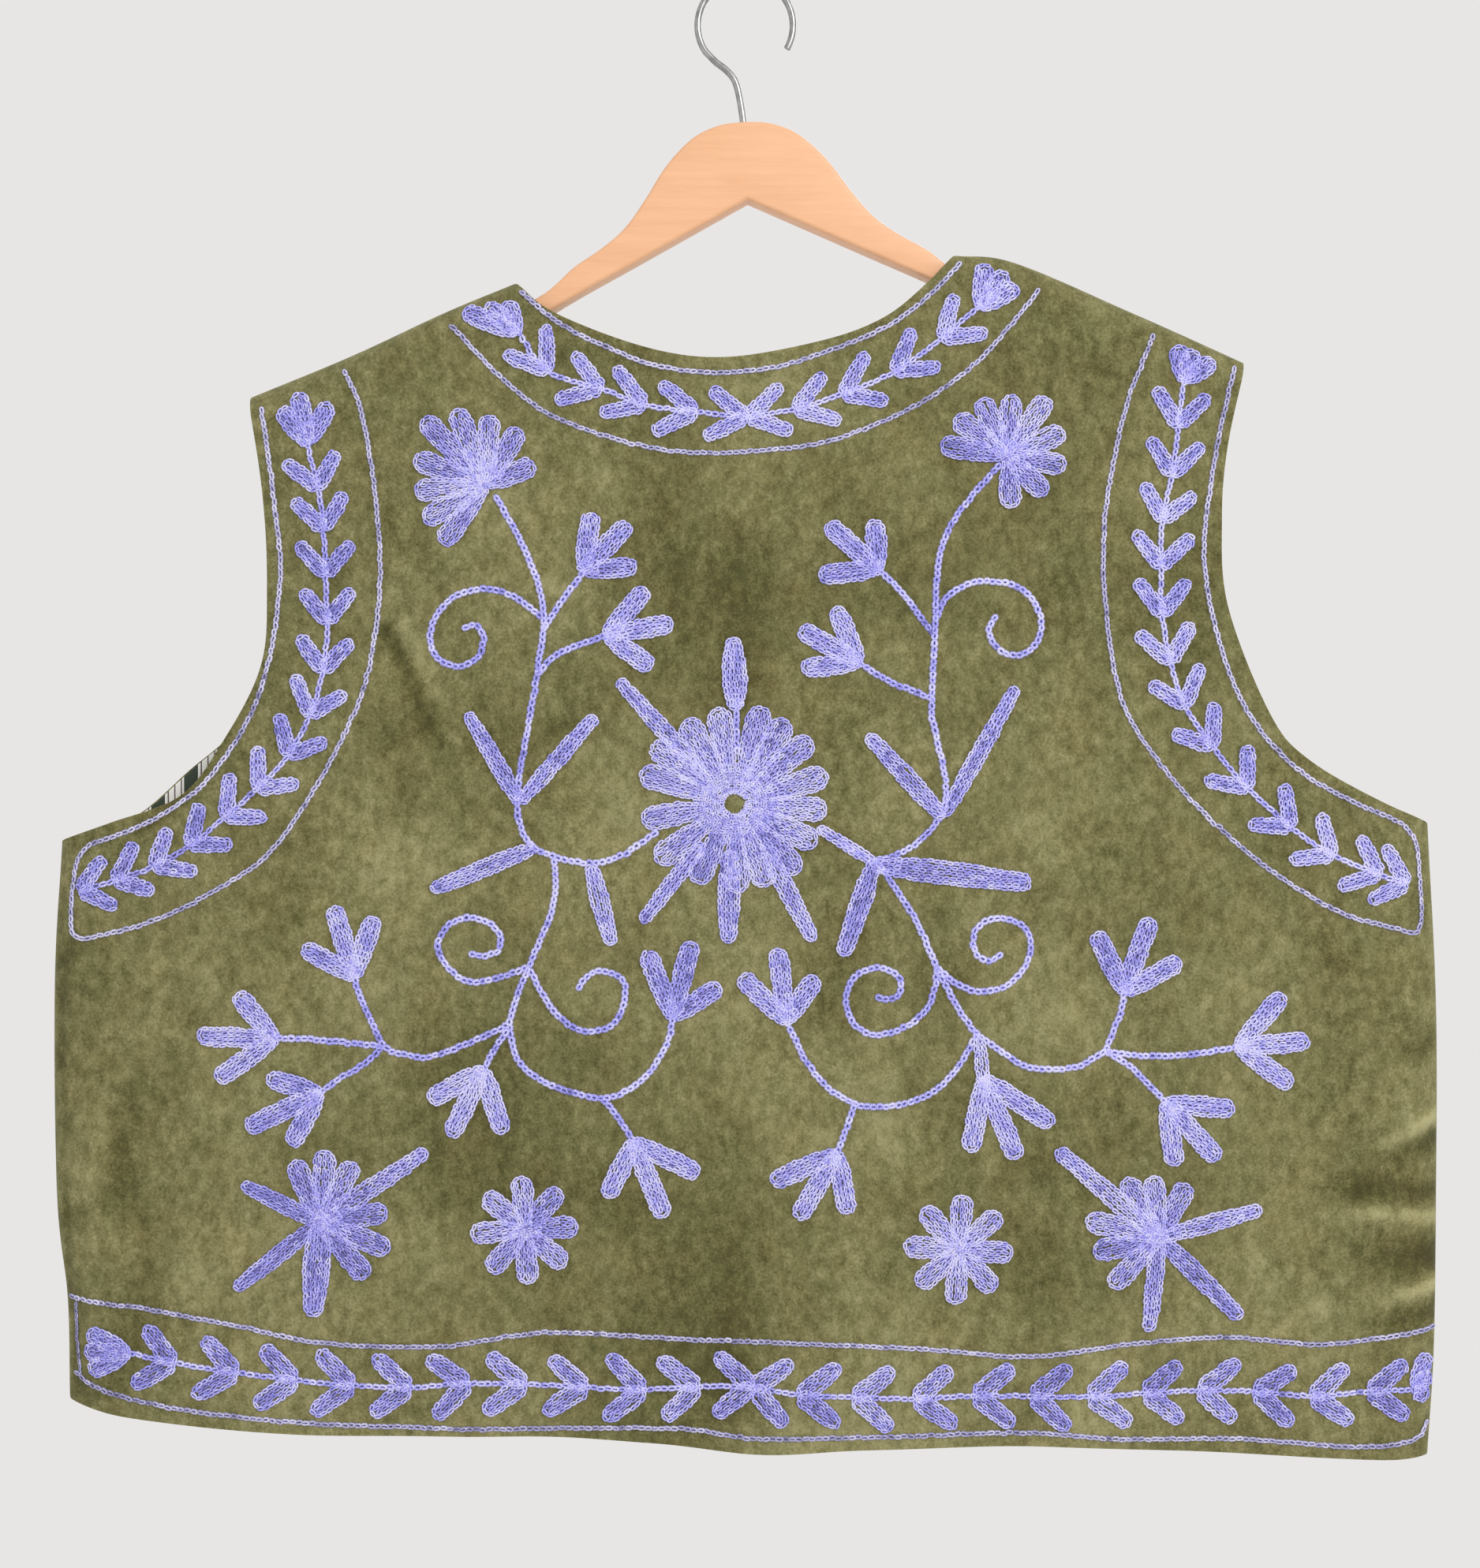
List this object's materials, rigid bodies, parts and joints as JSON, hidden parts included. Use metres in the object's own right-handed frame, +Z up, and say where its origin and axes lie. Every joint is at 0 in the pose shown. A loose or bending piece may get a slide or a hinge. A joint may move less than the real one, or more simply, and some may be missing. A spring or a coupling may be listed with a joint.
{
  "type": "embroidered waistcoat on a wooden hanger",
  "caption": "Cropped sleeveless velvet waistcoat with chain-stitch flowers and striped lining, hanging flat on a wooden hanger.",
  "frame": {"origin": "inner top of the hanger's hook, where a rail carries it", "axes": "+Z up, -Y out of the garment's embroidered back, +X to the right of someone who looks at that back"},
  "size_m": [0.6384, 0.0275, 0.6828],
  "materials": {
    "velvet": "napped",
    "lining": "striped plain weave",
    "wool": "chain stitch",
    "wood": "satin lacquer",
    "steel": "zinc plated"
  },
  "bodies": {
    "root": {"back": "velvet", "front_left": "velvet", "front_right": "velvet", "lining_back": "lining", "lining_front_left": "lining", "lining_front_right": "lining", "neck_line_inner": "wool", "neck_line_outer": "wool", "neck_vine": "wool", "armhole_line_left": "wool", "armhole_line_right": "wool", "armhole_vine_left": "wool", "armhole_vine_right": "wool", "hem_line_upper": "wool", "hem_line_lower": "wool", "hem_vine": "wool", "centre_flower": "wool", "vine_left": "wool", "vine_right": "wool", "corner_flower_left": "wool", "corner_flower_right": "wool", "small_flower_left": "wool", "small_flower_right": "wool", "hanger_body": "wood", "hanger_hook": "steel"}
  },
  "joints": []
}
